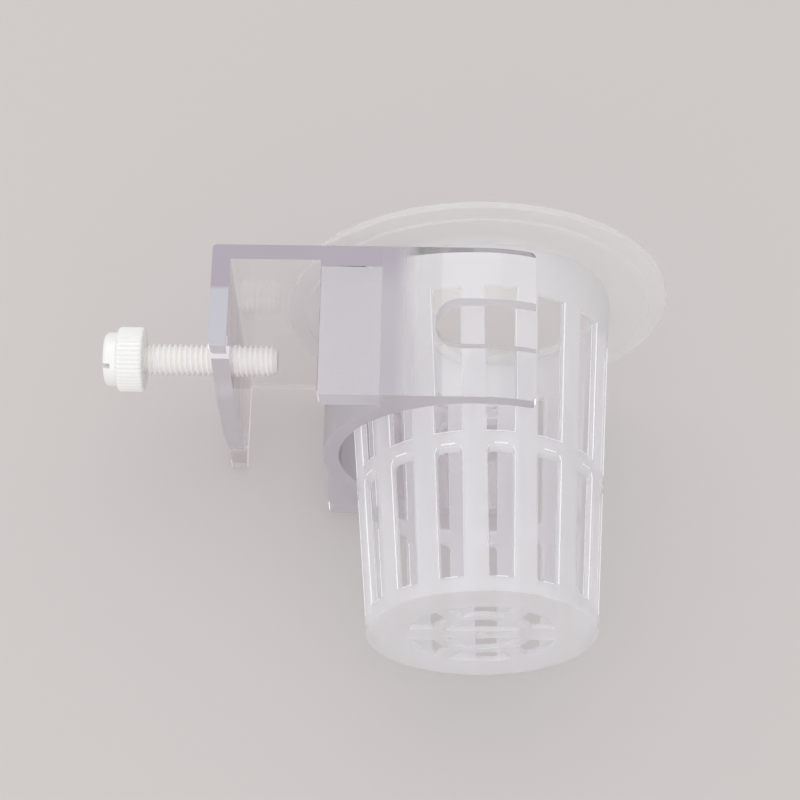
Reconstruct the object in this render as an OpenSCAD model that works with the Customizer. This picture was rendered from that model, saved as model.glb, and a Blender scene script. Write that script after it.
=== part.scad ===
// Clip-on plant cup for an aquarium: a clear hook that hangs on the tank's rim and
// carries a C-shaped collar, a nylon thumb screw that clamps the hook to the glass,
// and a slotted net cup that drops into the collar by its wide flange.
// Millimetres. +Z is up, +X runs from the screw towards the cup, and the origin is
// the middle of the hook's seat, the face that rests on the rim.

/* [Hook] */
// Clear gap over the rim, from the jaw to the bearing faces
gap_w = 16; // [13:0.5:24]
// Thickness of the bridge that lies on the rim
bridge_t = 2.8; // [2:0.1:4]
// Thickness of the outer jaw
jaw_t = 3.2; // [2.4:0.1:5]
// Reach of the jaw's feet below the seat
jaw_drop = 17.1; // [15.5:0.1:24]
// Height of the feet, up to the jaw's edge beside the tongue
foot_h = 3.6; // [1:0.1:4]
// Length of each foot along the jaw
foot_l = 3; // [2:0.1:6]
// Width of the tongue in the middle of the jaw
tongue_w = 41; // [34:0.5:46]
// Width of the flat at the tongue's lower edge
tongue_flat_w = 17; // [10:0.5:30]
// Reach of the tongue below the seat
tongue_drop = 17.9; // [15.5:0.1:24]
// Rise of the tongue's lower edge from the flat to its sides
tongue_rise = 1.9; // [0.5:0.1:3]
// Radius on the long outer corner of the bridge
corner_r = 0.7; // [0.3:0.1:1.5]

/* [Collar] */
// Height of the bracket, from the top of the bridge to the foot of the collar
bracket_h = 28.7; // [26:0.1:40]
// Bore that the cup drops into
bore_d = 50; // [44:0.5:60]
// Wall of the collar
collar_t = 2.9; // [2:0.1:4]
// Thickness of the cheeks that join the collar to the hook
cheek_t = 4.3; // [2.5:0.1:6]
// Reach of the two arms past the middle of the bore
arm_reach = 9.9; // [4:0.1:16]
// Height of the notch in each arm
notch_h = 8.8; // [5:0.1:12]
// Length of the notch, from the arm's free end
notch_l = 17.5; // [12:0.1:22]
// Radius on the free ends of the arms
arm_end_r = 1; // [0.4:0.1:2]

/* [Thumb screw] */
// Outside diameter of the thread
thread_d = 6; // [5:0.1:7]
// Pitch of the thread
pitch = 1; // [0.8:0.05:1.2]
// Depth of the thread
thread_h = 0.6; // [0.3:0.05:0.7]
// Length of the threaded shank
shank_l = 24.6; // [20:0.1:30]
// Radial clearance of the shank in the jaw
thread_play = 0.06; // [0.02:0.01:0.1]
// Depth of the screw's axis below the seat
screw_drop = 6.9; // [5:0.1:8]
// Space left for the glass between the screw's tip and the bearing faces
tip_gap = 9; // [4:0.1:12]
// Diameter of the knurled head
head_d = 12; // [11:0.1:13.5]
// Length of the knurled head
head_l = 4.9; // [3:0.1:8]
// Number of ridges round the head
ridge_count = 42; // [36:2:60]
// Depth of the grooves between the ridges
groove_h = 0.25; // [0.1:0.05:0.6]
// Diameter of the plain boss on the head
boss_d = 10; // [8:0.1:12]
// Length of the boss
boss_l = 2.5; // [1.5:0.1:4]
// Radius on the boss's edge
boss_r = 1; // [0.3:0.1:1.4]
// Width of the driver slot in the boss
driver_w = 0.9; // [0.6:0.1:2]
// Depth of the driver slot
driver_h = 1.4; // [0.5:0.1:1.8]
// Turn of the driver slot, from level
driver_turn = 40; // [0:1:180]

/* [Cup] */
// Height of the cup, base to brim
cup_h = 67; // [58:0.5:80]
// Diameter across the base
base_d = 40.6; // [36:0.1:43]
// Radial play of the cup's neck in the collar's bore
neck_play = 0.4; // [0.3:0.05:1]
// Overhang of the flange past the outside of the collar
flange_over = 7.3; // [4:0.1:12]
// Thickness of the flange where it rests on the collar
flange_t = 2; // [1.4:0.1:3]
// Width of the thinner brim round the flange
brim_w = 3.4; // [2:0.1:6]
// Step up from the flange's seat to the underside of the brim
brim_step = 0.6; // [0.2:0.1:1]
// Wall of the cup
cup_t = 1.2; // [0.8:0.1:1.6]
// Number of upright bars, and of slots in each tier
bar_count = 15; // [12:1:16]
// Width of each bar
bar_w = 4.3; // [3.4:0.1:4.8]
// Turn of the first slot, from the +X side
slot_turn = 14.5; // [0:0.5:30]
// Solid band at the base
foot_band = 2.8; // [2:0.1:6]
// Height of the lower tier of slots
low_slot_h = 23.8; // [16:0.1:26]
// Solid ring between the two tiers
mid_band = 2.5; // [1.5:0.1:6]
// Height of the upper tier of slots
high_slot_h = 26.9; // [18:0.1:27]
// Fall of the lower slots' top edge towards the inside
slot_fall = 1.2; // [0:0.1:1.5]

/* [Cup base] */
// Thickness of the base
base_t = 0.9; // [0.7:0.1:2]
// Diameter across the outside of the ring of windows
window_out_d = 26; // [22:0.1:32]
// Diameter across the inside of the ring of windows
window_in_d = 17.8; // [15.5:0.1:20]
// Diameter of the opening inside the inner ring
hub_open_d = 13.8; // [10:0.1:15]
// Width of the four slanted spokes
spoke_w = 2.7; // [1.5:0.1:4]
// Angle of the slanted spokes from the cross bar
spoke_turn = 57.5; // [45:0.5:70]
// Width of the two level spokes
level_spoke_w = 5.4; // [3:0.1:7]
// Width of the bar across the inner ring
cross_bar_w = 3.5; // [2:0.1:5]
// Diameter of the moulding nub in the middle
nub_d = 1.8; // [1:0.1:3]
// Height of the nub below the base
nub_h = 0.4; // [0.2:0.1:0.8]

/* [How the cup sits] */
// Lean of the cup in the collar, flange lifted on one side
cup_lean = 3.1; // [0:0.1:3.4]
// Side on which the flange still rests, as a compass angle from +X
lean_side = 111; // [90:1:135]

/* [Hidden] */
$fn = 96;
// Overrun of a cutter past the face it cuts
cut = 1;
clear_tint = [0.86, 0.84, 0.92, 0.45];
nylon_white = [0.95, 0.95, 0.93];
frosted_white = [0.90, 0.91, 0.93, 0.75];

// Places along X
jaw_in_x = -gap_w / 2;
jaw_out_x = jaw_in_x - jaw_t;
bearing_x = gap_w / 2;
bore_r = bore_d / 2;
collar_r = bore_r + collar_t;
collar_x = bearing_x + collar_r;
// Length of a cheek, from its bearing face to where the collar's curve meets it
cheek_l = collar_r - sqrt(pow(collar_r, 2) - pow(collar_r - cheek_t, 2));
arm_end_x = collar_x + arm_reach;
notch_r = notch_h / 2;
notch_x = arm_end_x - notch_l + notch_r;
tip_x = bearing_x - tip_gap;
head_x = tip_x - shank_l;

// Places along Z
foot_z = bridge_t - bracket_h;
notch_z = foot_z + bracket_h / 2;
jaw_edge_z = foot_h - jaw_drop;

// Screw
thread_r = thread_d / 2;
root_r = thread_r - thread_h;
turn_count = floor(shank_l / pitch) - 1;
shank_bore_r = thread_r + thread_play;

// Cup, measured up its own axis from the base
neck_r = bore_r - neck_play;
base_r = base_d / 2;
flange_r = collar_r + flange_over;
brim_in_r = flange_r - brim_w;
seat_h = cup_h - flange_t;
// Distance from the cup's axis to the far end of the collar's top that the flange's
// flat still reaches, on the side of the lean: the cup is tipped about that place
far_corner_turn = 180 - asin(min(1, collar_r / brim_in_r));
rest_r = brim_in_r * cos(max(0, far_corner_turn - lean_side));
slot_pitch = 360 / bar_count;
low_slot_z = foot_band;
low_slot_top = low_slot_z + low_slot_h;
high_slot_z = low_slot_top + mid_band;
high_slot_top = high_slot_z + high_slot_h;
// Radius at which the sides of two neighbouring bars would meet
slot_apex_r = bar_w / 2 / sin(slot_pitch / 2);
window_out_r = window_out_d / 2;
window_in_r = window_in_d / 2;
hub_open_r = hub_open_d / 2;

// Outer radius of the cup's wall at a height above the base
function wall_r(h) = base_r + (neck_r - base_r) * h / seat_h;

// Square with one rounded corner, at its high x and high y end
module corner_plate(width, height, radius) {
    square([width - radius, height]);
    square([width, height - radius]);
    translate([width - radius, height - radius]) circle(radius);
}

// Lays an outline drawn in x and z along the whole width of the bracket
module across_bracket() {
    rotate([90, 0, 0])
        linear_extrude(2 * collar_r + 2 * cut, center = true) children();
}

// Turns a piece drawn up +Z so that it points along +X on the screw's axis
module on_screw_axis(x) {
    translate([x, 0, -screw_drop]) rotate([0, 90, 0]) children();
}

// Tongue of the jaw as seen along X: a flat lower edge that rises to both sides
module jaw_tongue() {
    polygon([
        [-tongue_w / 2, jaw_edge_z],
        [-tongue_w / 2, tongue_rise - tongue_drop],
        [-tongue_flat_w / 2, -tongue_drop],
        [tongue_flat_w / 2, -tongue_drop],
        [tongue_w / 2, tongue_rise - tongue_drop],
        [tongue_w / 2, jaw_edge_z]
    ]);
}

// Jaw as seen along X, with its two feet and its tongue
module jaw_face() {
    translate([-collar_r, jaw_edge_z]) square([2 * collar_r, bridge_t - jaw_edge_z]);
    for (side = [-1, 1])
        translate([side * (collar_r - foot_l / 2), -jaw_drop / 2])
            square([foot_l, jaw_drop], center = true);
    jaw_tongue();
}

module outer_jaw() {
    reach = max(jaw_drop, tongue_drop) + cut;
    color(clear_tint)
    difference() {
        intersection() {
            translate([jaw_out_x, 0, 0]) rotate([90, 0, 90])
                linear_extrude(jaw_t) jaw_face();
            across_bracket()
                translate([jaw_in_x, -reach]) mirror([1, 0])
                    corner_plate(jaw_t, reach + bridge_t, corner_r);
        }
        on_screw_axis(jaw_out_x - cut)
            cylinder(r = shank_bore_r, h = jaw_t + 2 * cut);
    }
}

module bridge() {
    color(clear_tint)
    translate([jaw_in_x, -collar_r, 0]) cube([gap_w, 2 * collar_r, bridge_t]);
}

// Left is -Y, as seen from the cup's side
module left_cheek() {
    color(clear_tint)
    translate([bearing_x, -collar_r, foot_z]) cube([cheek_l, cheek_t, -foot_z]);
}

module right_cheek() {
    mirror([0, 1, 0]) left_cheek();
}

// Plan of the collar and the corner plates beside it, before the arms are cut off
module collar_plan() {
    difference() {
        union() {
            translate([bearing_x, -collar_r]) square([collar_r, 2 * collar_r]);
            translate([collar_x, 0]) circle(collar_r);
        }
        translate([collar_x, 0]) circle(bore_r);
    }
}

// Plan of the cheeks and the pockets beside them, which lie below the corner plates
module corner_plan() {
    difference() {
        translate([bearing_x - cut, -collar_r - cut])
            square([cheek_l + cut, 2 * (collar_r + cut)]);
        translate([collar_x, 0]) circle(collar_r);
    }
}

// Side view of the collar: square at the hook, rounded at the arms' free ends
module collar_side() {
    middle = foot_z + bracket_h / 2;
    for (way = [0, 1])
        translate([bearing_x, middle]) mirror([0, way])
            corner_plate(arm_end_x - bearing_x, bracket_h / 2, arm_end_r);
}

module arm_notch() {
    translate([notch_x, notch_z]) {
        circle(notch_r);
        translate([0, -notch_r]) square([notch_l + cut, notch_h]);
    }
}

module collar() {
    color(clear_tint)
    difference() {
        intersection() {
            translate([0, 0, foot_z]) linear_extrude(bracket_h) collar_plan();
            across_bracket() difference() {
                collar_side();
                arm_notch();
            }
        }
        translate([0, 0, foot_z - cut]) linear_extrude(cut - foot_z) corner_plan();
    }
}

// Outline of half the shank: a plain neck, one crest for each turn, a bevelled tip
module shank_outline() {
    crests = [for (i = [0 : turn_count - 1], step = [0.1, 0.45, 0.65, 1])
        [step == 0.45 || step == 0.65 ? thread_r : root_r, pitch * (0.4 + i + step)]];
    polygon(concat(
        [[0, 0], [root_r, 0]],
        crests,
        [[root_r, shank_l - thread_h], [root_r - thread_h / 2, shank_l], [0, shank_l]]
    ));
}

module screw_shank() {
    color(nylon_white)
    on_screw_axis(head_x) rotate_extrude() shank_outline();
}

module knurl_outline() {
    polygon([for (i = [0 : 2 * ridge_count - 1])
        let (r = head_d / 2 - (i % 2) * groove_h, a = i * 180 / ridge_count)
        [r * cos(a), r * sin(a)]]);
}

module screw_head() {
    color(nylon_white)
    difference() {
        union() {
            on_screw_axis(head_x - head_l) linear_extrude(head_l) knurl_outline();
            on_screw_axis(head_x - head_l) rotate([180, 0, 0]) rotate_extrude()
                corner_plate(boss_d / 2, boss_l, boss_r);
        }
        on_screw_axis(head_x - head_l - boss_l) rotate([0, 0, driver_turn])
            cube([driver_w, 2 * head_d, 2 * driver_h], center = true);
    }
}

// Sets the cup in the collar: upright, then tipped about the place it still rests on
module seated_cup() {
    translate([collar_x, 0, bridge_t]) rotate([0, 0, lean_side])
        translate([rest_r, 0, 0]) rotate([0, cup_lean, 0]) translate([-rest_r, 0, 0])
            rotate([0, 0, -lean_side]) translate([0, 0, -seat_h]) children();
}

module cup_flange() {
    color(frosted_white)
    seated_cup() rotate_extrude() polygon([
        [wall_r(seat_h) - cup_t, seat_h],
        [brim_in_r, seat_h],
        [brim_in_r, seat_h + brim_step],
        [flange_r, seat_h + brim_step],
        [flange_r, cup_h],
        [wall_r(seat_h) - cup_t, cup_h]
    ]);
}

// Wedges between the bars, whose sides run parallel to each bar's own middle
module slot_wedges() {
    long = 2 * flange_r;
    half = slot_pitch / 2;
    for (i = [0 : bar_count - 1])
        rotate(slot_turn + i * slot_pitch) translate([slot_apex_r, 0]) polygon([
            [0, 0],
            [long * cos(half), long * sin(half)],
            [long * cos(half), -long * sin(half)]
        ]);
}

// One tier of slots as a ring seen in section, its top edge falling inwards
module slot_tier(from, to, fall) {
    intersection() {
        translate([0, 0, from - cut]) linear_extrude(to - from + 2 * cut) slot_wedges();
        rotate_extrude() polygon([
            [wall_r(from) - cup_t - cut, from],
            [wall_r(to) + cut, from],
            [wall_r(to) + cut, to],
            [wall_r(to), to],
            [wall_r(to) - cup_t, to - fall],
            [wall_r(from) - cup_t - cut, to - fall]
        ]);
    }
}

module cup_wall() {
    color(frosted_white)
    seated_cup() difference() {
        rotate_extrude() polygon([
            [wall_r(base_t) - cup_t, base_t],
            [wall_r(base_t), base_t],
            [wall_r(seat_h), seat_h],
            [wall_r(seat_h) - cup_t, seat_h]
        ]);
        slot_tier(low_slot_z, low_slot_top, slot_fall);
        slot_tier(high_slot_z, high_slot_top, 0);
    }
}

// Openings of the base: a ring of six windows and two D-shaped ones inside it
module base_openings() {
    difference() {
        circle(window_out_r);
        circle(window_in_r);
        square([2 * window_out_r + cut, level_spoke_w], center = true);
        for (side = [-1, 1])
            rotate(side * spoke_turn)
                square([2 * window_out_r + cut, spoke_w], center = true);
    }
    difference() {
        circle(hub_open_r);
        square([2 * hub_open_r + cut, cross_bar_w], center = true);
    }
}

module cup_base() {
    color(frosted_white)
    seated_cup() {
        difference() {
            rotate_extrude() polygon([
                [0, 0], [wall_r(0), 0], [wall_r(base_t), base_t], [0, base_t]
            ]);
            translate([0, 0, -cut]) linear_extrude(base_t + 2 * cut) base_openings();
        }
        translate([0, 0, -nub_h]) cylinder(d = nub_d, h = nub_h + base_t / 2);
    }
}

outer_jaw();
bridge();
left_cheek();
right_cheek();
collar();
screw_shank();
screw_head();
cup_flange();
cup_wall();
cup_base();
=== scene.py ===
import math

import bmesh
import bpy
from mathutils import Matrix, Vector


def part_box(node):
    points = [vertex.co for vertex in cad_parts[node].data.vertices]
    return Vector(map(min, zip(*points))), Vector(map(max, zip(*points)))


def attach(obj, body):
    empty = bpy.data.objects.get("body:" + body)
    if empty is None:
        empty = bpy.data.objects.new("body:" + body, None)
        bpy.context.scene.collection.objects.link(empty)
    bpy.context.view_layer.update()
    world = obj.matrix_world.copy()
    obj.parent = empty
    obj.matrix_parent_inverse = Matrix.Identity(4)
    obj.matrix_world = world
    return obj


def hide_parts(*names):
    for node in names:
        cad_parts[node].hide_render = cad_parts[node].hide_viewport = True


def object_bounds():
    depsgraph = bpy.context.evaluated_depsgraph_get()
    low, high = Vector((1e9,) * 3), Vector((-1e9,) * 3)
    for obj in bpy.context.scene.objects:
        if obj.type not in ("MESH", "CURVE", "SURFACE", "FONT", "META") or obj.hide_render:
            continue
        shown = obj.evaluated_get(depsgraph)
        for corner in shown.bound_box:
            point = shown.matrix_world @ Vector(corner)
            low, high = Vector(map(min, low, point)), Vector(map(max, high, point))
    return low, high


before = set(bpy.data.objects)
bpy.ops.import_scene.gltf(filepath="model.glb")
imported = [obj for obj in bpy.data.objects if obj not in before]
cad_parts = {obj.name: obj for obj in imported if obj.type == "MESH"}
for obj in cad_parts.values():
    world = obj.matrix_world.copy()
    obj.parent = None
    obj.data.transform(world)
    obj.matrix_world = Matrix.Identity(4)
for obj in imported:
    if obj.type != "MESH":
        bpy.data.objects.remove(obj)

cad_low, cad_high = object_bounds()
mm = 0.001
bpy.context.scene.view_settings.view_transform = "Standard"

# The camera looks from the front and well below, because the cup lies on its back on a
# table and is seen from above the table. Its place, turn and lens are the photograph's.
camera_place = Vector((0.0303, -0.3990, -0.1916))
camera_right = Vector((0.99970, 0.01183, 0.02123))
camera_ahead = Vector((-0.01943, 0.91371, 0.40590))
camera_up = camera_right.cross(camera_ahead).normalized()
camera_data = bpy.data.cameras.new("camera")
camera_data.lens = 106.9
camera_data.sensor_width = 36
camera_data.clip_start = 10 * mm
camera = bpy.data.objects.new("camera", camera_data)
camera.matrix_world = Matrix.Translation(camera_place) @ Matrix(
    (camera_right.normalized(), camera_up, -camera_ahead.normalized())
).transposed().to_4x4()
bpy.context.scene.collection.objects.link(camera)
bpy.context.scene.camera = camera


# The table is a board painted a warm grey. The object lies on it with a jaw's foot, the
# far cheek's lower corner and the flange's edge, and these three points set its plane.
def linear(shade):
    """Linear colour, with full alpha, of an sRGB hex value such as "cecbca"."""
    parts = [int(shade[i:i + 2], 16) / 255 for i in (0, 2, 4)]
    return [p / 12.92 if p <= 0.04045 else ((p + 0.055) / 1.055) ** 2.4 for p in parts] + [1]


def add_node(tree, kind, inputs=(), **settings):
    """Adds a node with its settings, and fills its inputs from (output or value, input) pairs."""
    node = tree.nodes.new("ShaderNode" + kind)
    for name, value in settings.items():
        if hasattr(node, name):
            setattr(node, name, value)
        else:
            node.inputs[name.replace("_", " ")].default_value = value
    for source, socket in inputs:
        if isinstance(source, bpy.types.NodeSocket):
            tree.links.new(source, node.inputs[socket])
        else:
            node.inputs[socket].default_value = source
    return node


def new_material(name):
    """A node material with nothing in it yet, and its node tree."""
    material = bpy.data.materials.new(name)
    material.use_nodes = True
    material.node_tree.nodes.clear()
    return material, material.node_tree


def start_piece():
    """Object mode with nothing selected, ready for the next primitive."""
    if bpy.context.mode != "OBJECT":
        bpy.ops.object.mode_set(mode="OBJECT")
    bpy.ops.object.select_all(action="DESELECT")


table_shade = "cfcac8"
table_width = 2.4
hair = 0.02 * mm
jaw_low, jaw_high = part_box("outer_jaw")
collar_low, collar_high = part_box("collar")
flange_low, flange_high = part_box("cup_flange")
half_jaw = 1.6 * mm
foot_drop = 17.1 * mm
brim_middle = (flange_low + flange_high) / 2
rests = (
    Vector((jaw_low.x + half_jaw, jaw_high.y, -foot_drop)),
    Vector((collar_low.x, collar_high.y, collar_low.z)),
    Vector((brim_middle.x, flange_high.y, brim_middle.z)),
)
table_normal = (rests[1] - rests[0]).cross(rests[2] - rests[0]).normalized()
if table_normal.y > 0:
    table_normal.negate()
start_piece()
bpy.ops.mesh.primitive_plane_add(size=table_width)
table = bpy.context.object
table.name = "table"
table.matrix_world = (
    Matrix.Translation(rests[0] - hair * table_normal)
    @ table_normal.to_track_quat("Z", "Y").to_matrix().to_4x4()
)

# Matt paint gives the eye an even warm grey with hardly any gloss. From behind, the board
# is clear, so that the object shows from that side too.
material, tree = new_material("painted_board")
paint = add_node(
    tree, "BsdfPrincipled",
    Base_Color=linear(table_shade), Roughness=0.6, Specular_IOR_Level=0.2,
)
nothing = add_node(tree, "BsdfTransparent")
side = add_node(tree, "NewGeometry")
one_sided = add_node(
    tree, "MixShader",
    [(side.outputs["Backfacing"], 0), (paint.outputs[0], 1), (nothing.outputs[0], 2)],
)
add_node(tree, "OutputMaterial", [(one_sided.outputs[0], "Surface")])
table.data.materials.append(material)

# Soft studio light: a wide lamp in front and above on the screw's side, a second one lower
# down, a long card that only glossy surfaces show, and an even room. The background is
# the table's own colour.
middle = (cad_low + cad_high) / 2


def soft_lamp(name, offset, width, height, watts, only_gloss=False):
    """A soft box aimed at the object's middle, unseen by the camera and through clear plastic."""
    light = bpy.data.lights.new(name, "AREA")
    light.shape = "RECTANGLE"
    light.size = width
    light.size_y = height
    light.energy = watts
    lamp = bpy.data.objects.new(name, light)
    lamp.matrix_world = (
        Matrix.Translation(middle + offset) @ offset.to_track_quat("Z", "Y").to_matrix().to_4x4()
    )
    lamp.visible_camera = False
    lamp.visible_transmission = False
    lamp.visible_diffuse = not only_gloss
    bpy.context.scene.collection.objects.link(lamp)


soft_lamp("window_lamp", Vector((-0.5, -1.3, 0.5)), 2.0, 2.0, 4.5)
soft_lamp("fill_lamp", Vector((-0.3, -1.0, -1.2)), 2.0, 2.0, 7)
soft_lamp("gloss_card", Vector((0.35, -1.25, 0.75)), 2.8, 0.7, 11, only_gloss=True)
world = bpy.data.worlds.new("room")
world.use_nodes = True
bpy.context.scene.world = world
tree = world.node_tree
tree.nodes.clear()
ray = add_node(tree, "LightPath")
seen = add_node(
    tree, "Math",
    [(ray.outputs["Is Camera Ray"], 0), (ray.outputs["Is Glossy Ray"], 1)],
    operation="MAXIMUM",
)
shown = add_node(
    tree, "Math",
    [(seen.outputs[0], 0), (ray.outputs["Is Transmission Ray"], 1)],
    operation="MAXIMUM",
)
room_light = add_node(tree, "Background", Color=linear("ffffff"), Strength=0.8)
backdrop = add_node(tree, "Background", Color=linear(table_shade), Strength=1.0)
what_shows = add_node(
    tree, "MixShader",
    [(shown.outputs[0], 0), (room_light.outputs[0], 1), (backdrop.outputs[0], 2)],
)
add_node(tree, "OutputWorld", [(what_shows.outputs[0], "Surface")])


# The bracket is one clear moulding of polystyrene with a faint violet tint: the hook and
# the C-shaped collar. It comes out of a polished mould, but the cores of its two corner
# pockets are left as sparked, so the pocket walls are frosted.
def take_up(obj):
    """Makes obj the active, selected object."""
    start_piece()
    obj.select_set(True)
    bpy.context.view_layer.objects.active = obj


def apply_boolean(body, tool, operation):
    """Joins, cuts or trims body with tool and removes tool."""
    take_up(body)
    modifier = body.modifiers.new("shape", "BOOLEAN")
    modifier.operation = operation
    modifier.object = tool
    modifier.solver = "MANIFOLD"
    bpy.ops.object.modifier_apply(modifier=modifier.name)
    bpy.data.objects.remove(tool)
    body.data.materials.clear()


def merge_flats(obj, distance):
    """Merges points nearer than the distance and makes each flat face whole."""
    take_up(obj)
    bpy.ops.object.mode_set(mode="EDIT")
    bpy.ops.mesh.select_all(action="SELECT")
    bpy.ops.mesh.remove_doubles(threshold=distance)
    bpy.ops.mesh.dissolve_limited(angle_limit=math.radians(0.5))
    bpy.ops.object.mode_set(mode="OBJECT")


def solid_copy(node):
    """A merged copy of a CAD node's solid, with its flat faces whole again."""
    copy = bpy.data.objects.new(node + "_copy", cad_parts[node].data.copy())
    copy.data.materials.clear()
    bpy.context.scene.collection.objects.link(copy)
    merge_flats(copy, 0.001 * mm)
    return copy


def round_edges(obj, wanted, radius, segments):
    """Bevels the edges that wanted(edge) picks in obj's mesh."""
    take_up(obj)
    bpy.ops.object.mode_set(mode="EDIT")
    bpy.ops.mesh.select_mode(type="EDGE")
    bpy.ops.mesh.select_all(action="DESELECT")
    work = bmesh.from_edit_mesh(obj.data)
    for edge in work.edges:
        edge.select = bool(wanted(edge))
    bmesh.update_edit_mesh(obj.data)
    bpy.ops.mesh.bevel(offset=radius, segments=segments, affect="EDGES", clamp_overlap=True)
    bpy.ops.object.mode_set(mode="OBJECT")


def outer_corner(edge, least=math.radians(35)):
    """True for a convex edge whose faces meet at more than the least angle."""
    return edge.is_manifold and edge.is_convex and edge.calc_face_angle() > least


def even_normals(obj, angle=math.radians(35)):
    """Smooth shading that keeps flat faces flat beside their rounded edges."""
    take_up(obj)
    bpy.ops.object.shade_smooth_by_angle(angle=angle)
    modifier = obj.modifiers.new("flat_faces", "WEIGHTED_NORMAL")
    modifier.keep_sharp = True
    modifier.weight = 100
    bpy.ops.object.modifier_apply(modifier=modifier.name)


def block(low, high):
    """A plain filler between two opposite corners."""
    start_piece()
    bpy.ops.mesh.primitive_cube_add(size=1, location=(low + high) / 2, scale=high - low)
    bpy.ops.object.transform_apply(location=True, rotation=True, scale=True)
    return bpy.context.object


def divide(obj, place, normal):
    """Divides the faces that a plane crosses, so that each side can take its own finish."""
    take_up(obj)
    bpy.ops.object.mode_set(mode="EDIT")
    bpy.ops.mesh.select_all(action="SELECT")
    bpy.ops.mesh.bisect(plane_co=place, plane_no=normal)
    bpy.ops.object.mode_set(mode="OBJECT")


edge_radius = 0.3 * mm
corner_radius = 1.1 * mm
cheek_width = 4.3 * mm
collar_radius = (collar_high.y - collar_low.y) / 2
collar_axis_x = collar_low.x + collar_radius
pocket_side = collar_radius - cheek_width
pocket_end = collar_axis_x - math.sqrt(collar_radius ** 2 - pocket_side ** 2)
bracket = solid_copy("collar")
bracket.name = "bracket_moulding"
for node in ("bridge", "left_cheek", "right_cheek", "outer_jaw"):
    apply_boolean(bracket, solid_copy(node), "UNION")

# The solid's corner pockets run out to a sharp wedge. The moulding's end bluntly, so a
# plug fills each wedge and bites a little into the walls round it.
pocket_blunt = 2.2 * mm
plug_bite = 0.5 * mm
plug_width = 1.7 * mm
plug_top = 0.1 * mm
blunt_end = pocket_end - pocket_blunt
for side in (-1, 1):
    across = sorted((side * (pocket_side + plug_bite), side * (pocket_side - plug_width)))
    plug = block(
        Vector((blunt_end, across[0], collar_low.z)),
        Vector((pocket_end + plug_bite, across[1], plug_top)),
    )
    apply_boolean(bracket, plug, "UNION")
merge_flats(bracket, 0.005 * mm)

# The outer side changes its look at the cheek's front, at the pocket's blunt end and a
# little below the bridge, so its faces are divided there.
cloud_level = -1.15 * mm
divide(bracket, (collar_low.x, 0, 0), (1, 0, 0))
divide(bracket, (blunt_end, 0, 0), (1, 0, 0))
divide(bracket, (0, 0, cloud_level), (0, 0, 1))
outer_zone = 22 * mm
close = 0.01 * mm


def lower_corner(edge):
    """The lower outer edges of the jaw's feet and the lower front edges of the cheeks."""
    low, high = sorted(edge.verts, key=lambda vertex: vertex.co.y)
    if high.co.y - low.co.y < mm or min(abs(low.co.y), abs(high.co.y)) < outer_zone:
        return False
    at_foot = low.co.z < jaw_low.z + mm and abs(low.co.x - jaw_low.x) < close
    at_cheek = low.co.z < collar_low.z + close and abs(low.co.x - collar_low.x) < close
    return outer_corner(edge) and (at_foot or at_cheek)


round_edges(bracket, lower_corner, corner_radius, 4)
round_edges(bracket, outer_corner, edge_radius, 3)
even_normals(bracket)

# Marks that are too fine to show in the render are drawn this many times as wide as they
# are: here the pits of a sparked core and the tool marks on a milled parting face.
coarser = 20
spark_pit = 0.055 * mm
parting_mark = 0.1 * mm
flow_width = 8 * mm
styrene_ior = 1.57
styrene_film = "f7f5f7"


def light_passes(tree, plastic, film):
    """Ends a material in plastic, and in a tinted film for the rays that go straight on.

    These are lamp light, bounced light and what a glossy surface has already turned,
    which would otherwise be lost inside the moulding.
    """
    ray = add_node(tree, "LightPath")
    light = add_node(
        tree, "Math",
        [(ray.outputs["Is Shadow Ray"], 0), (ray.outputs["Is Diffuse Ray"], 1)],
        operation="MAXIMUM",
    )
    turned = add_node(
        tree, "Math", [(ray.outputs["Glossy Depth"], 0), (0.5, 1)], operation="GREATER_THAN",
    )
    passing = add_node(
        tree, "Math", [(light.outputs[0], 0), (turned.outputs[0], 1)], operation="MAXIMUM",
    )
    thin = add_node(tree, "BsdfTransparent", Color=linear(film))
    either = add_node(
        tree, "MixShader",
        [(passing.outputs[0], 0), (plastic.outputs[0], 1), (thin.outputs[0], 2)],
    )
    add_node(tree, "OutputMaterial", [(either.outputs[0], "Surface")])


# Clear polystyrene from a polished cavity gives the eye sharp reflections and a faint
# violet cast. The melt's flow leaves shallow waves 8 mm wide, in which things waver.
material, tree = new_material("polished_polystyrene")
place = add_node(tree, "TexCoord")
flow = add_node(
    tree, "TexNoise", [(place.outputs["Object"], "Vector")], Scale=1 / flow_width, Detail=2.0,
)
ripple = add_node(
    tree, "Bump", [(flow.outputs["Fac"], "Height")], Strength=0.06, Distance=0.4 * mm,
)
haze = add_node(tree, "MapRange", [(flow.outputs["Fac"], "Value")], To_Min=0.02, To_Max=0.07)
clear = add_node(
    tree, "BsdfPrincipled",
    [(haze.outputs[0], "Roughness"), (ripple.outputs["Normal"], "Normal")],
    Base_Color=linear("fcfbfd"), IOR=styrene_ior, Transmission_Weight=1.0,
)
light_passes(tree, clear, styrene_film)
bracket.data.materials.append(material)

# The pockets' cores are left as sparked, so the plastic there is pitted all over. The eye
# sees a darker, frosted wall that hides half of what is behind it.
material, tree = new_material("sparked_polystyrene")
place = add_node(tree, "TexCoord")
grit = add_node(
    tree, "TexNoise", [(place.outputs["Object"], "Vector")],
    Scale=1 / (coarser * spark_pit), Detail=2.0,
)
pits = add_node(
    tree, "Bump", [(grit.outputs["Fac"], "Height")], Strength=0.3, Distance=0.2 * mm,
)
frosted = add_node(
    tree, "BsdfPrincipled", [(pits.outputs["Normal"], "Normal")],
    Base_Color=linear("c4c2c7"), Roughness=0.5, IOR=styrene_ior, Transmission_Weight=0.45,
)
light_passes(tree, frosted, styrene_film)
bracket.data.materials.append(material)


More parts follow.
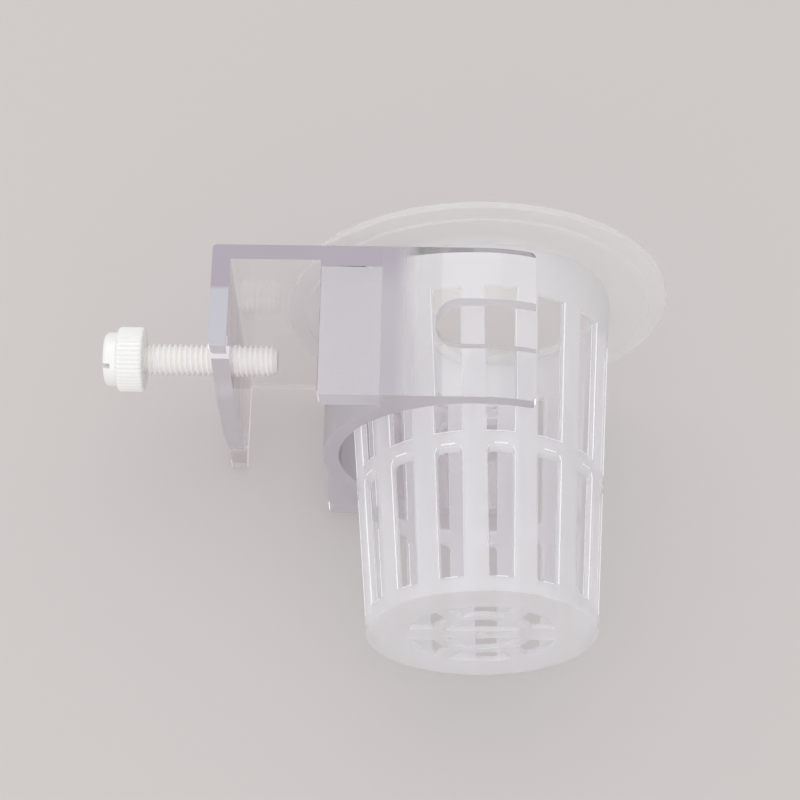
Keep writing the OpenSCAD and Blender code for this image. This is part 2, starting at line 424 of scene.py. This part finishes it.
def milled_polystyrene_painted_shade(name, shade):
    """Faces against the mould's milled, unpolished steel, dull and milky, in a painted shade that
    stands in for their light.
    """
    material, tree = new_material(name)
    place = add_node(tree, "TexCoord")
    marks = add_node(
        tree, "TexNoise", [(place.outputs["Object"], "Vector")],
        Scale=1 / (coarser * parting_mark), Detail=2.0,
    )
    dull = add_node(
        tree, "MapRange", [(marks.outputs["Fac"], "Value")], To_Min=0.4, To_Max=0.45,
    )
    matt = add_node(
        tree, "BsdfPrincipled", [(dull.outputs[0], "Roughness")],
        Base_Color=linear(shade), IOR=styrene_ior, Transmission_Weight=0.3,
    )
    light_passes(tree, matt, styrene_film)
    return material


# The outer side is polished, but it is seen through the moulding's whole width, and its
# violet-grey cloud is painted: painted shade, darkest along the bridge. Past the pocket's end
# the arm is thin, and only a veil is left on it, a pale painted reflection, stronger towards the
# bridge.
bridge_levels = (-6.2 * mm, -5.2 * mm)
cheek_levels = (-7 * mm, mm)
painted_veil_levels = (-16 * mm, -6 * mm)
fade_start = pocket_end - 0.5 * mm
fade_end = pocket_end + 6 * mm


def thick_polystyrene_painted_shade(name, levels, lower_shade, upper_shade):
    """Thick styrene in painted shade, darker above the levels, fading along the arm into a pale
    painted reflection.
    """
    material, tree = new_material(name)
    place = add_node(tree, "TexCoord")
    axes = add_node(tree, "SeparateXYZ", [(place.outputs["Object"], 0)])
    above = add_node(
        tree, "MapRange", [(axes.outputs["Z"], "Value")],
        interpolation_type="SMOOTHSTEP", From_Min=levels[0], From_Max=levels[1],
    )
    shade = add_node(
        tree, "Mix",
        [(above.outputs[0], "Factor"), (linear(lower_shade), 6), (linear(upper_shade), 7)],
        data_type="RGBA",
    )
    flow = add_node(
        tree, "TexNoise", [(place.outputs["Object"], "Vector")],
        Scale=1 / flow_width, Detail=2.0,
    )
    dull = add_node(
        tree, "MapRange", [(flow.outputs["Fac"], "Value")], To_Min=0.3, To_Max=0.45,
    )
    fade = add_node(
        tree, "MapRange", [(axes.outputs["X"], "Value")],
        interpolation_type="SMOOTHSTEP", From_Min=fade_start, From_Max=fade_end,
    )
    polish = add_node(
        tree, "Mix", [(fade.outputs[0], "Factor"), (dull.outputs[0], 2), (0.05, 3)],
        data_type="FLOAT",
    )
    # Painted reflection: past the pocket's end the face turns towards this pale veil colour.
    paler_painted_veil = add_node(
        tree, "Mix",
        [(fade.outputs[0], "Factor"), (shade.outputs[2], 6), (linear("dee1df"), 7)],
        data_type="RGBA",
    )
    painted_reflection_veil = add_node(
        tree, "MapRange", [(axes.outputs["Z"], "Value")],
        interpolation_type="SMOOTHSTEP",
        From_Min=painted_veil_levels[0], From_Max=painted_veil_levels[1], To_Min=0.97, To_Max=0.88,
    )
    shows_through = add_node(
        tree, "Math", [(fade.outputs[0], 0), (painted_reflection_veil.outputs[0], 1)], operation="MULTIPLY",
    )
    thick = add_node(
        tree, "BsdfPrincipled",
        [(paler_painted_veil.outputs[2], "Base Color"), (polish.outputs[0], "Roughness"),
         (shows_through.outputs[0], "Transmission Weight")],
        IOR=styrene_ior,
    )
    light_passes(tree, thick, styrene_film)
    return material


# Painted shade: the darker milled shade for the faces under the rims.
bracket.data.materials.append(milled_polystyrene_painted_shade("milled_polystyrene_painted_shade", "cfcad1"))
# Painted shade: the upper shades are darker along the bridge and above the cheek.
bracket.data.materials.append(
    thick_polystyrene_painted_shade("thick_polystyrene_painted_shade", bridge_levels, "b7b5be", "a097a3")
)
bracket.data.materials.append(
    thick_polystyrene_painted_shade("clearing_polystyrene_painted_shade_and_reflection", cheek_levels, "aea8b2", "a39aa6")
)
# Painted light: the paler milled shade for the faces in the notch, at the arm's end and on the
# tongue's side.
bracket.data.materials.append(milled_polystyrene_painted_shade("milled_polystyrene_painted_light", "eeebf0"))
# Each face takes one of these six finishes, by its place and by the way that it looks.
# The milled faces under the rims take a darker painted shade, and those in the notch, at the
# arm's end and on the tongue's side a paler painted light.
polished, sparked, milled_painted_shade, thick_painted_shade, clearing_painted_shade_and_reflection, milled_painted_light = range(6)
near = 0.1 * mm
mostly = 0.7
squarely = 0.9
for face in bracket.data.polygons:
    at = face.center
    from_axis = Vector((at.x - collar_axis_x, at.y))
    outward = face.normal.xy.dot(from_axis)
    half_outward = 0.5 * from_axis.length
    on_arm = at.x > collar_axis_x
    below_top = at.z < -mm
    in_pocket = (
        collar_low.x + 2 * near < at.x < pocket_end + 2 * near
        and abs(at.y) < pocket_side + near
        and collar_low.z + edge_radius + near < at.z < near / 2
        and from_axis.length > collar_radius - edge_radius
    )
    outer_side = at.y < near / 2 - collar_radius
    over_cheek = at.x < blunt_end and at.z > cloud_level
    outer_arm = (
        on_arm and at.y < 0 and outward > half_outward
        and from_axis.length > collar_radius - edge_radius
    )
    in_notch = (
        abs(outward) < half_outward and at.x > pocket_end + mm
        and at.z > collar_low.z + mm and below_top
    )
    arm_end = on_arm and face.normal.x > squarely
    tongue_side = face.normal.y < -squarely and at.x < collar_low.x and at.y < 0
    under_rim = face.normal.z < -mostly and below_top
    if in_pocket:
        face.material_index = sparked
    elif outer_side and (at.x < collar_low.x or over_cheek):
        face.material_index = thick_painted_shade
    elif outer_side and at.x > blunt_end or outer_arm:
        face.material_index = clearing_painted_shade_and_reflection
    elif in_notch or arm_end or tongue_side:
        face.material_index = milled_painted_light
    elif under_rim:
        face.material_index = milled_painted_shade
    else:
        face.material_index = polished
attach(bracket, "bracket")
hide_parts("outer_jaw", "bridge", "left_cheek", "right_cheek", "collar")

# The screw's shank is white nylon, moulded in one with the head, with an M6 thread: a
# right-hand helix of crests at 1 mm, a plain neck under the head and a bevelled tip.
shank_low, shank_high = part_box("screw_shank")
head_low, head_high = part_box("screw_head")
screw_z = (shank_low.z + shank_high.z) / 2
shank_length = shank_high.x - shank_low.x
pitch = 1 * mm
thread_depth = 0.6 * mm
crest_radius = (shank_high.z - shank_low.z) / 2
root_radius = crest_radius - thread_depth
thread_steps = 40
# One turn of the thread is drawn as (share of the pitch, radius) and wound up the screw.
# What is cut off the helix's start sets where the crests stand.
crest_line = (
    (0, root_radius), (0.12, root_radius), (0.5, crest_radius), (0.58, crest_radius),
    (0.96, root_radius), (1, root_radius),
)
cut_off = 1.55 * pitch


def along_screw(obj, x):
    """Turns a piece drawn up +Z onto the screw's axis, its foot at x."""
    take_up(obj)
    obj.matrix_world = Matrix.Translation((x, 0, screw_z)) @ Matrix.Rotation(math.pi / 2, 4, "Y")
    bpy.ops.object.transform_apply(location=True, rotation=True, scale=True)


def line_mesh(name, points, closed):
    """An object with one chain of edges through the points."""
    mesh = bpy.data.meshes.new(name)
    count = len(points)
    edges = [(i, (i + 1) % count) for i in range(count if closed else count - 1)]
    mesh.from_pydata(points, edges, [])
    obj = bpy.data.objects.new(name, mesh)
    bpy.context.scene.collection.objects.link(obj)
    return obj


def spun(name, outline, steps):
    """A closed solid of revolution about Z from a closed outline of (radius, height)."""
    obj = line_mesh(name, [(r, 0, h) for r, h in outline], True)
    take_up(obj)
    bpy.ops.object.mode_set(mode="EDIT")
    bpy.ops.mesh.select_all(action="SELECT")
    bpy.ops.mesh.spin(steps=steps, angle=2 * math.pi, center=(0, 0, 0), axis=(0, 0, 1))
    bpy.ops.mesh.select_all(action="SELECT")
    bpy.ops.mesh.remove_doubles(threshold=0.0005 * mm)
    bpy.ops.mesh.normals_make_consistent(inside=False)
    bpy.ops.object.mode_set(mode="OBJECT")
    return obj


shank = line_mesh("screw_thread", [(r, 0, share * pitch) for share, r in crest_line], False)
winding = shank.modifiers.new("winding", "SCREW")
winding.screw_offset = pitch
winding.iterations = math.ceil(shank_length / pitch) + 2
winding.steps = thread_steps
winding.render_steps = thread_steps
take_up(shank)
bpy.ops.object.modifier_apply(modifier=winding.name)
# The turns are merged, and the two open ends of the helix get a face each.
bpy.ops.object.mode_set(mode="EDIT")
bpy.ops.mesh.select_all(action="SELECT")
bpy.ops.mesh.remove_doubles(threshold=0.002 * mm)
bpy.ops.mesh.select_all(action="DESELECT")
bpy.ops.mesh.select_mode(type="EDGE")
bpy.ops.mesh.select_non_manifold()
bpy.ops.mesh.edge_face_add()
bpy.ops.mesh.select_all(action="SELECT")
bpy.ops.mesh.normals_make_consistent(inside=False)
bpy.ops.object.mode_set(mode="OBJECT")
shank.data.transform(Matrix.Translation((0, 0, -cut_off)))

# The helix is trimmed to an envelope: the neck, a short run-out, the crests, and a tip
# whose crests stop before its roots do.
neck_length = 0.45 * mm
run_out = 0.4 * mm
crest_stop = 0.96 * mm
root_stop = 0.54 * mm
tip_bevel = 0.3 * mm
tip_radius = root_radius - 0.35 * mm
envelope = spun("envelope", (
    (0, 0),
    (root_radius + hair, 0),
    (root_radius + hair, neck_length),
    (crest_radius, neck_length + run_out),
    (crest_radius, shank_length - crest_stop),
    (root_radius + hair, shank_length - root_stop),
    (root_radius - 0.1 * mm, shank_length - tip_bevel),
    (tip_radius, shank_length),
    (0, shank_length),
), thread_steps)
apply_boolean(shank, envelope, "INTERSECT")
along_screw(shank, shank_low.x)
even_normals(shank, math.radians(28))

# Nylon from a plain steel cavity gives the eye a waxy white with a soft gloss. The thread's
# roots are painted a little warmer and darker, as painted shade with a warm bounce. Its grain
# is too fine to show and is drawn coarser.
nylon_grain = 0.085 * mm
crest_zone = 0.3 * mm
material, tree = new_material("moulded_nylon")
place = add_node(tree, "TexCoord")
grain = add_node(
    tree, "TexNoise", [(place.outputs["Object"], "Vector")],
    Scale=1 / (coarser * nylon_grain), Detail=3.0,
)
relief = add_node(
    tree, "Bump", [(grain.outputs["Fac"], "Height")], Strength=0.15, Distance=0.1 * mm,
)
gloss = add_node(tree, "MapRange", [(grain.outputs["Fac"], "Value")], To_Min=0.3, To_Max=0.45)
off_axis = add_node(
    tree, "VectorMath",
    [(place.outputs["Object"], 0), ((0, 1, 1), 1), ((0, 0, -screw_z), 2)],
    operation="MULTIPLY_ADD",
)
radius = add_node(tree, "VectorMath", [(off_axis.outputs["Vector"], 0)], operation="LENGTH")
out_of_root = add_node(
    tree, "MapRange", [(radius.outputs["Value"], "Value")],
    From_Min=root_radius, From_Max=root_radius + crest_zone,
)
# Painted shade: the roots' warmer, darker white.
nylon_and_root_shade = add_node(
    tree, "Mix",
    [(out_of_root.outputs[0], "Factor"), (linear("f2eeea"), 6), (linear("f6f6f5"), 7)],
    data_type="RGBA",
)
nylon = add_node(
    tree, "BsdfPrincipled",
    [(nylon_and_root_shade.outputs[2], "Base Color"), (gloss.outputs[0], "Roughness"),
     (relief.outputs["Normal"], "Normal")],
    IOR=1.53, Subsurface_Weight=0.15, Subsurface_Radius=(1, 0.9, 0.8),
    Subsurface_Scale=0.8 * mm,
)
add_node(tree, "OutputMaterial", [(nylon.outputs[0], "Surface")])
moulded_nylon = material
shank.data.materials.append(moulded_nylon)
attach(shank, "screw_shaft")
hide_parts("screw_shank")

# The screw's head is the same nylon moulding: a disc with straight knurls for the
# fingers, a plain rounded boss on its end and a narrow driver slot across the boss.
ridge_count = 42
groove_depth = 0.25 * mm
head_radius = (head_high.z - head_low.z) / 2
disc_length = 4.9 * mm
small_bevel = 0.12 * mm
# The disc's rounded shoulder, as (distance from its end, share of its radius).
shoulder = ((0, 0.93), (0.12 * mm, 0.965), (0.45 * mm, 0.995), (0.7 * mm, 1.0))
rim_points = 4 * ridge_count
start_piece()
bpy.ops.mesh.primitive_circle_add(
    vertices=rim_points, radius=head_radius * shoulder[0][1], fill_type="NGON",
)
head = bpy.context.object
head.name = "screw_knob"
bpy.ops.object.mode_set(mode="EDIT")
stations = list(shoulder) + [(disc_length - at, share) for at, share in reversed(shoulder)]
for (before, last), (at, share) in zip(stations, stations[1:]):
    bpy.ops.mesh.extrude_region_move(TRANSFORM_OT_translate={"value": (0, 0, at - before)})
    bpy.ops.transform.resize(value=(share / last, share / last, 1), center_override=(0, 0, at))
bpy.ops.mesh.select_all(action="SELECT")
bpy.ops.mesh.normals_make_consistent(inside=False)
bpy.ops.object.mode_set(mode="OBJECT")
# Every fourth point round the rim is drawn in, which leaves straight grooves between ridges.
for vertex in head.data.vertices:
    turn = math.atan2(vertex.co.y, vertex.co.x) / (2 * math.pi)
    if round(turn * rim_points) % 4 == 2:
        out = vertex.co.xy.length
        vertex.co.x *= (out - groove_depth) / out
        vertex.co.y *= (out - groove_depth) / out

boss_length = shank_low.x - head_low.x - disc_length
boss_radius = 5 * mm
boss_round = 1 * mm
boss_root = 0.3 * mm
boss_flare = 0.2 * mm
flare_height = 0.15 * mm
boss_steps = 96
round_angles = [math.radians(18 * step) for step in range(6)]
boss = spun("boss", [(0, boss_root), (0, -boss_length)] + [
    (boss_radius - boss_round * (1 - math.sin(a)), -boss_length + boss_round * (1 - math.cos(a)))
    for a in round_angles
] + [
    (boss_radius, -flare_height), (boss_radius + boss_flare, hair),
    (boss_radius + boss_flare, boss_root),
], boss_steps)
apply_boolean(head, boss, "UNION")

slot_width = 0.9 * mm
slot_depth = 1.4 * mm
slot_turn = math.radians(40)
start_piece()
bpy.ops.mesh.primitive_cube_add(
    size=1, scale=(slot_width, 4 * boss_radius, 2 * slot_depth),
    location=(0, 0, -boss_length), rotation=(0, 0, slot_turn),
)
driver_slot = bpy.context.object
bpy.ops.object.transform_apply(location=True, rotation=True, scale=True)
apply_boolean(head, driver_slot, "DIFFERENCE")


def boss_edge(edge):
    """The sharp edges of the boss and its slot, clear of the disc."""
    clear_of_disc = all(v.co.z < -boss_flare for v in edge.verts)
    return clear_of_disc and outer_corner(edge, math.radians(60))


round_edges(head, boss_edge, small_bevel, 2)
along_screw(head, head_low.x + boss_length)
even_normals(head, math.radians(32))
head.data.materials.append(moulded_nylon)
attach(head, "screw_knob")
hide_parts("screw_head")

# The net cup is one thin, frosted moulding of polypropylene. Its basket has two tiers of
# slots between straight bars, and a base with windows, a cross bar and a gate nub.
cup_height = 67 * mm
flange_thickness = 2 * mm
seat_height = cup_height - flange_thickness
foot_radius = 20.3 * mm
neck_radius = 24.6 * mm
wall = 1.2 * mm
slot_bevel = 0.2 * mm
bar_count = 15
bar_half = 2.15 * mm
first_slot = math.radians(14.5)
sector = 2 * math.pi / bar_count
low_slots = (2.8 * mm, 26.6 * mm)
high_slots = (29.1 * mm, 56.0 * mm)
slot_fall = 1.2 * mm
# The cup leans in its collar. It is tipped about the far end of the collar's top, where
# the flat ring under its flange still rests on the side of the lean.
cup_lean = math.radians(3.1)
lean_side = math.radians(111)
flange_radius = collar_radius + 7.3 * mm
thin_brim = 3.4 * mm
brim_inside = flange_radius - thin_brim
far_corner_turn = math.pi - math.asin(min(1, collar_radius / brim_inside))
rest_radius = brim_inside * math.cos(max(0, far_corner_turn - lean_side))
seat = (
    Matrix.Translation((collar_axis_x, 0, collar_high.z))
    @ Matrix.Rotation(lean_side, 4, "Z") @ Matrix.Translation((rest_radius, 0, 0))
    @ Matrix.Rotation(cup_lean, 4, "Y") @ Matrix.Translation((-rest_radius, 0, 0))
    @ Matrix.Rotation(-lean_side, 4, "Z") @ Matrix.Translation((0, 0, -seat_height))
)
# Columns of one sector, from the middle of one bar to just before the next: a share of
# the bar's half width, or a share of the slot between its two bars.
columns = (
    ("bar", 0), ("bar", 0.5), ("bar", 1), ("slot", 0.08), ("slot", 0.25), ("slot", 0.5),
    ("slot", 0.75), ("slot", 0.92), ("next", 1), ("next", 0.5),
)
slot_columns = range(2, 9)
# The rows' heights. The faces above rows 1 and 3 are open between the bars, and the lower
# slots' upper corners are rounded: how far each column's edge lies below its row.
rows = (0, low_slots[0], low_slots[1], high_slots[0], high_slots[1], seat_height)
open_tiers = (1, 3)
low_slot_top = 2
corner_drop = {2: 1.0 * mm, 3: 0.2 * mm, 7: 0.2 * mm, 8: 1.0 * mm}


def wall_radius(height):
    """Outside radius of the basket's tapered wall."""
    return foot_radius + (neck_radius - foot_radius) * height / seat_height


def wall_point(index, height, depth):
    """Place on the basket's wall: outside at depth 0, inside at the wall's thickness."""
    radius = wall_radius(height) - depth
    start = first_slot + (index // len(columns) - 0.5) * sector
    kind, share = columns[index % len(columns)]
    edge = math.asin(bar_half / radius)
    if kind == "bar":
        angle = start + math.asin(share * bar_half / radius)
    elif kind == "next":
        angle = start + sector - math.asin(share * bar_half / radius)
    else:
        angle = start + edge + share * (sector - 2 * edge)
    return Vector((radius * math.cos(angle), radius * math.sin(angle), height))


# The wall starts as a flat grid of columns and rows. The slots' faces are deleted, the
# rest is wrapped round the cup's axis, and it is then extruded inwards to its thickness.
column_count = bar_count * len(columns)
start_piece()
bpy.ops.mesh.primitive_grid_add(x_subdivisions=column_count, y_subdivisions=len(rows) - 1, size=2)
basket = bpy.context.object
basket.name = "cup_basket_moulding"
grid = {}
for vertex in basket.data.vertices:
    column = round((vertex.co.x + 1) / 2 * column_count)
    row = round((vertex.co.y + 1) / 2 * (len(rows) - 1))
    grid[vertex.index] = (column % column_count, row)
bpy.ops.object.mode_set(mode="EDIT")
bpy.ops.mesh.select_mode(type="FACE")
bpy.ops.mesh.select_all(action="DESELECT")
work = bmesh.from_edit_mesh(basket.data)
column_of = work.verts.layers.int.new("column")
row_of = work.verts.layers.int.new("row")
for vertex in work.verts:
    vertex[column_of], vertex[row_of] = grid[vertex.index]
for face in work.faces:
    lowest_row = min(v[row_of] for v in face.verts)
    in_slot = all(v[column_of] % len(columns) in slot_columns for v in face.verts)
    face.select = lowest_row in open_tiers and in_slot
bmesh.update_edit_mesh(basket.data)
bpy.ops.mesh.delete(type="FACE")
work = bmesh.from_edit_mesh(basket.data)
for vertex in work.verts:
    column = vertex[column_of] % len(columns)
    drop = corner_drop.get(column, 0) if vertex[row_of] == low_slot_top else 0
    vertex.co = wall_point(vertex[column_of], rows[vertex[row_of]] - drop, 0)
bmesh.update_edit_mesh(basket.data)
bpy.ops.mesh.select_all(action="SELECT")
bpy.ops.mesh.remove_doubles(threshold=0.001 * mm)
bpy.ops.mesh.extrude_region()
work = bmesh.from_edit_mesh(basket.data)
for vertex in work.verts:
    if vertex.select:
        column = vertex[column_of] % len(columns)
        drop = 0
        if vertex[row_of] == low_slot_top and column in slot_columns:
            drop = slot_fall + corner_drop.get(column, 0)
        vertex.co = wall_point(vertex[column_of], rows[vertex[row_of]] - drop, wall)
bmesh.update_edit_mesh(basket.data)
bpy.ops.mesh.select_all(action="SELECT")
bpy.ops.mesh.normals_make_consistent(inside=False)
bpy.ops.object.mode_set(mode="OBJECT")


def slot_rim(edge):
    """Edges round the slots, and the basket's lower outside edge."""
    below_flange = all(v.co.z < seat_height - mm for v in edge.verts)
    return below_flange and outer_corner(edge, math.radians(40))


round_edges(basket, slot_rim, slot_bevel, 2)

base_thickness = 0.9 * mm
window_outside = 13 * mm
window_inside = 8.9 * mm
hub_opening = 6.9 * mm
spoke_width = 2.7 * mm
spoke_turn = math.radians(57.5)
level_spoke_width = 5.4 * mm
cross_bar_width = 3.5 * mm
nub_radius = 0.9 * mm
nub_height = 0.4 * mm
cutter_low = -mm
cutter_high = 2 * mm


def disc(name, radius, low, high, steps=96):
    """An upright round plug between two heights."""
    start_piece()
    bpy.ops.mesh.primitive_cylinder_add(
        vertices=steps, radius=radius, depth=high - low, location=(0, 0, (low + high) / 2),
    )
    obj = bpy.context.object
    obj.name = name
    bpy.ops.object.transform_apply(location=True, rotation=True, scale=True)
    return obj


def strip(width, turn):
    """A straight bar right across the windows, taller than the discs that it cuts."""
    start_piece()
    bpy.ops.mesh.primitive_cube_add(
        size=1, scale=(3 * window_outside, width, 6 * base_thickness), rotation=(0, 0, turn),
    )
    obj = bpy.context.object
    bpy.ops.object.transform_apply(location=True, rotation=True, scale=True)
    return obj


# The floor is a disc. Its windows are a ring cut by three pairs of spokes, and its hub's
# openings are a disc cut by the cross bar.
floor = disc("cup_floor", foot_radius - 0.5 * wall, hair, base_thickness)
windows = disc("windows", window_outside, cutter_low, cutter_high)
inner_ring = disc("inner_ring", window_inside, cutter_low - mm, cutter_high + mm)
apply_boolean(windows, inner_ring, "DIFFERENCE")
apply_boolean(windows, strip(level_spoke_width, 0), "DIFFERENCE")
apply_boolean(windows, strip(spoke_width, spoke_turn), "DIFFERENCE")
apply_boolean(windows, strip(spoke_width, -spoke_turn), "DIFFERENCE")
apply_boolean(floor, windows, "DIFFERENCE")
hub = disc("hub", hub_opening, cutter_low, cutter_high)
apply_boolean(hub, strip(cross_bar_width, 0), "DIFFERENCE")
apply_boolean(floor, hub, "DIFFERENCE")
apply_boolean(floor, disc("nub", nub_radius, -nub_height, base_thickness / 2, 32), "UNION")


def window_rim(edge):
    """Edges round the base's windows, its hub's openings and the gate nub."""
    inside = all(v.co.xy.length < window_outside + near for v in edge.verts)
    return inside and outer_corner(edge, math.radians(50))


round_edges(floor, window_rim, small_bevel, 2)
apply_boolean(basket, floor, "UNION")

# The mould's halves shear the plastic where they meet round the slots and windows. Those
# bevels, which take a painted highlight, are picked out while the cup still stands upright, by
# their depth in the wall.
bevel_from = 0.03 * mm
bevel_to = 0.3 * mm
sheared_highlight_bevels = []
for face in basket.data.polygons:
    out = face.center.xy.length
    slope = abs(face.normal.z)
    if base_thickness < face.center.z < seat_height - 0.5 * mm:
        depth = wall_radius(face.center.z) - out
        sheared_highlight_bevels.append(bevel_from < min(depth, wall - depth) < bevel_to and slope < 0.4)
    else:
        sheared_highlight_bevels.append(out < window_outside + 2 * near and 0.1 < slope < 0.9)
basket.data.transform(seat)
even_normals(basket, math.radians(35))

# The wall cools unevenly, so its milkiness lies in clouds 11 mm wide. The frosted cavity's
# grit and the shear marks on the cut edges are too fine to show, and are drawn coarser.
milk_width = 11 * mm
mould_grit = 0.0275 * mm
shear_mark = 0.04 * mm
propylene_ior = 1.49


def frosted_polypropylene(name, shade, cover, glow):
    """Polypropylene from a frosted cavity: milky and dull, each face hides the share cover."""
    material, tree = new_material(name)
    place = add_node(tree, "TexCoord")
    cloud = add_node(
        tree, "TexNoise", [(place.outputs["Object"], "Vector")],
        Scale=1 / milk_width, Detail=3.0,
    )
    speck = add_node(
        tree, "TexNoise", [(place.outputs["Object"], "Vector")],
        Scale=1 / (coarser * mould_grit), Detail=2.0,
    )
    grain = add_node(
        tree, "Bump", [(speck.outputs["Fac"], "Height")], Strength=0.12, Distance=0.1 * mm,
    )
    milk = add_node(
        tree, "MapRange", [(cloud.outputs["Fac"], "Value")], To_Min=0.34, To_Max=0.5,
    )
    frost = add_node(
        tree, "BsdfPrincipled",
        [(milk.outputs[0], "Roughness"), (grain.outputs["Normal"], "Normal")],
        Base_Color=linear(shade), IOR=propylene_ior, Alpha=cover, Transmission_Weight=glow,
        Subsurface_Weight=1.0, Subsurface_Radius=(1, 1, 1), Subsurface_Scale=wall,
        Sheen_Weight=0.15,
    )
    light_passes(tree, frost, "f3f3f5")
    return material


basket.data.materials.append(
    frosted_polypropylene("frosted_polypropylene", "edecef", 0.5, 0.3)
)
# A sheared edge is smoother than the frosted faces beside it. Its near-white shade is a
# painted highlight, which draws a bright line round each slot and window.
material, tree = new_material("sheared_polypropylene_painted_highlight")
place = add_node(tree, "TexCoord")
marks = add_node(
    tree, "TexNoise", [(place.outputs["Object"], "Vector")],
    Scale=1 / (coarser * shear_mark), Detail=2.0,
)
shine = add_node(tree, "MapRange", [(marks.outputs["Fac"], "Value")], To_Min=0.2, To_Max=0.4)
painted_highlight = add_node(
    tree, "BsdfPrincipled", [(shine.outputs[0], "Roughness")],
    Base_Color=linear("fdfdfe"), IOR=propylene_ior, Transmission_Weight=0.1,
)
light_passes(tree, painted_highlight, "f2f2f4")
basket.data.materials.append(material)
for face, takes_painted_highlight in zip(basket.data.polygons, sheared_highlight_bevels):
    face.material_index = 1 if takes_painted_highlight else 0
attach(basket, "cup_basket")
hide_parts("cup_wall", "cup_base")

# The flange is the cup's wide brim, moulded with it, of the same polypropylene. It rests
# on the collar. Its outer part is thinner, so a step shows as a bright ring under it.
step_rise = 0.6 * mm
brim_round = 0.25 * mm
brim_steps = 144


def rounded(points, radius, steps=3):
    """A closed (radius, height) outline with its corners rounded."""
    result = []
    for i, point in enumerate(points):
        here = Vector(point)
        back = (Vector(points[i - 1]) - here).normalized()
        on = (Vector(points[(i + 1) % len(points)]) - here).normalized()
        for k in range(steps + 1):
            share = k / steps
            result.append(tuple(here + back * radius * (1 - share) ** 2 + on * radius * share ** 2))
    return result


flange_outline = rounded((
    (neck_radius - wall, seat_height),
    (brim_inside, seat_height),
    (brim_inside, seat_height + step_rise),
    (flange_radius, seat_height + step_rise),
    (flange_radius, cup_height),
    (neck_radius - wall, cup_height),
), brim_round)
flange = spun("cup_flange_moulding", flange_outline, brim_steps)
flange.data.transform(seat)
even_normals(flange, math.radians(35))
# Painted light: the flange takes a paler shade than the basket, which lifts its darker underside.
flange.data.materials.append(
    frosted_polypropylene("frosted_polypropylene_painted_light", "fafafc", 0.25, 0.0)
)
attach(flange, "cup_rim")
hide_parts("cup_flange")
